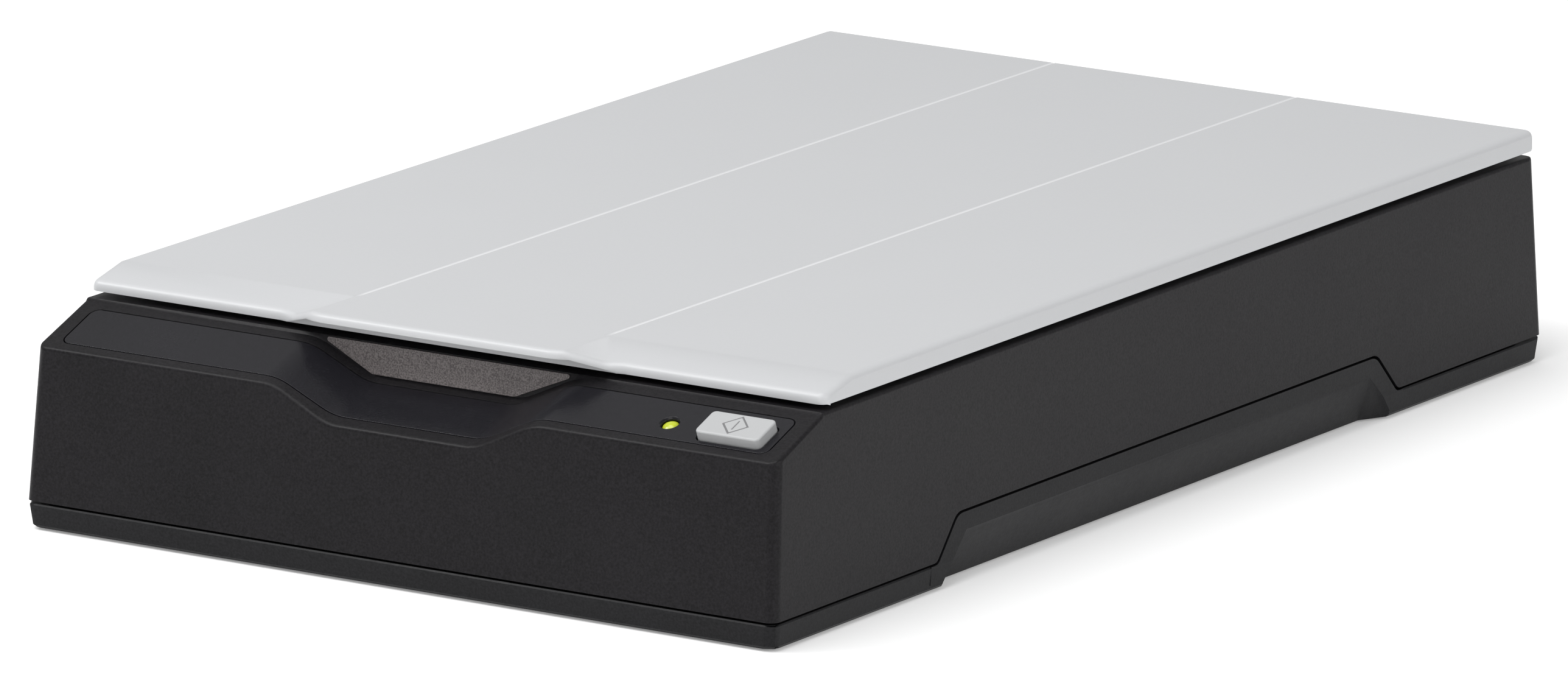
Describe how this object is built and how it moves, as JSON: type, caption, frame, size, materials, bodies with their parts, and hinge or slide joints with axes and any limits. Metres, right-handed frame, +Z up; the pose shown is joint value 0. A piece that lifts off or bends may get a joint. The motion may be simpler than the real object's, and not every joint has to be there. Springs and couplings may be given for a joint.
{
  "type": "flatbed scanner",
  "caption": "Compact flatbed scanner: dark case with a sloped front, one start button, a lift-off hinged grey lid, glass, and a belt-driven image sensor on a rod.",
  "frame": {"origin": "bottom centre of the bounding box, on the table", "axes": "+X to the right seen from the front, +Y to the back where the hinges are, +Z up"},
  "size_m": [0.145, 0.234, 0.04],
  "materials": {
    "case_black": "fine moulded texture, warm black",
    "base_black": "fine moulded texture, black",
    "panel_blue_black": "satin, slightly blue black",
    "button_grey": "satin light grey",
    "lid_grey": "satin silver grey",
    "liner_grey": "satin pale grey",
    "dark_plastic": "moulded dark plastic",
    "pale_plastic": "natural acetal",
    "white_sheet": "white film",
    "foam_white": "soft white foam",
    "lamp_lens": "clear yellow-green",
    "lamp_body": "clear epoxy",
    "platen_clear": "polished float glass",
    "sensor_clear": "polished",
    "light_guide_clear": "polished",
    "seal_black": "black adhesive film",
    "steel": "ground steel",
    "spring_steel": "spring wire",
    "zinc_sheet": "zinc plated sheet",
    "screw_black": "black oxide",
    "brass": "turned",
    "board_green": "green solder mask",
    "chip_black": "moulded epoxy",
    "parts_dark": "small parts",
    "plated_shell": "plated sheet",
    "contact": "plated contact",
    "foot_rubber": "soft rubber",
    "belt_rubber": "fibre-backed rubber",
    "ribbon_white": "flat cable",
    "wire_grey": "sheathed wires",
    "label_paper": "blank label film"
  },
  "bodies": {
    "case": {"lower_case": "base_black", "upper_case": "case_black", "control_panel": "panel_blue_black", "led_lens": "lamp_lens", "status_led": "lamp_body", "button_board": "board_green", "tact_switch": "zinc_sheet", "platen_glass": "platen_clear", "glass_seal": "seal_black", "reference_strip": "white_sheet", "guide_rod": "steel", "rod_clips": "dark_plastic", "drive_belt": "belt_rubber", "gear_axle": "steel", "idler_axle": "steel", "belt_tensioner": "dark_plastic", "tension_spring": "spring_steel", "motor_can": "zinc_sheet", "motor_bracket": "zinc_sheet", "main_board": "board_green", "main_chip": "chip_black", "board_parts": "parts_dark", "usb_socket": "plated_shell", "usb_tongue": "white_sheet", "power_jack": "chip_black", "jack_pin": "contact", "ribbon_floor": "ribbon_white", "panel_cable": "wire_grey", "case_screws": "screw_black", "bracket_screws": "steel", "board_screws": "steel", "rating_label": "label_paper", "foot_front_left": "foot_rubber", "foot_front_right": "foot_rubber", "foot_rear_left": "foot_rubber", "foot_rear_right": "foot_rubber"},
    "lid": {"lid_cover": "lid_grey", "lid_liner": "liner_grey", "foam_pad": "foam_white", "backing_sheet": "white_sheet", "hinge_pins": "steel"},
    "hinge_posts": {"hinge_post_left": "dark_plastic", "hinge_post_right": "dark_plastic"},
    "button": {"scan_button": "button_grey", "switch_plunger": "dark_plastic"},
    "scan_carriage": {"carriage": "dark_plastic", "cis_housing": "seal_black", "cis_window": "sensor_clear", "cis_light_guide": "light_guide_clear", "cis_lens_array": "parts_dark", "cis_board": "board_green", "cis_glides": "pale_plastic", "cis_springs": "spring_steel", "ribbon_plug": "pale_plastic"},
    "cable_loop": {"ribbon_loop": "ribbon_white"},
    "drive_wheel": {"drive_pulley": "pale_plastic", "drive_gear": "pale_plastic"},
    "idler_wheel": {"idler_pulley": "pale_plastic"},
    "motor_rotor": {"motor_shaft": "steel", "motor_pinion": "brass"}
  },
  "joints": [
    {"name": "lid_lift", "type": "slide", "parent": "case", "child": "hinge_posts", "axis": [0, 0, 1], "range_m": [0, 0.024]},
    {"name": "lid_hinge", "type": "hinge", "parent": "hinge_posts", "child": "lid", "pos_m": [0, 0.1136, 0.038], "axis": [-1, 0, 0], "range_deg": [0, 95]},
    {"name": "button_press", "type": "slide", "parent": "case", "child": "button", "axis": [0, 0.3571, -0.9341], "range_m": [0, 0.0007], "stiffness_N_per_m": 1500, "springref_m": -0.0004},
    {"name": "carriage_travel", "type": "slide", "parent": "case", "child": "scan_carriage", "axis": [0, 1, 0], "range_m": [0, 0.154]},
    {"name": "cable_roll", "type": "slide", "parent": "case", "child": "cable_loop", "axis": [0, 1, 0], "range_m": [0, 0.078]},
    {"name": "drive_spin", "type": "hinge", "parent": "case", "child": "drive_wheel", "pos_m": [0.024, 0.099, 0.0132], "axis": [0, 0, -1], "range_deg": [0, 1877.5]},
    {"name": "idler_spin", "type": "hinge", "parent": "case", "child": "idler_wheel", "pos_m": [0.024, -0.0915, 0.0095], "axis": [0, 0, -1], "range_deg": [0, 1877.5]},
    {"name": "motor_spin", "type": "hinge", "parent": "case", "child": "motor_rotor", "pos_m": [0.04, 0.099, 0.0132], "axis": [0, 0, 1], "range_deg": [0, 8135.5]}
  ],
  "couplings": [
    {"joint": "cable_roll", "follows": "carriage_travel", "ratio": 0.5},
    {"joint": "drive_spin", "follows": "carriage_travel", "rad_per_m": 212.77},
    {"joint": "idler_spin", "follows": "carriage_travel", "rad_per_m": 212.77},
    {"joint": "motor_spin", "follows": "carriage_travel", "rad_per_m": 921.99}
  ]
}
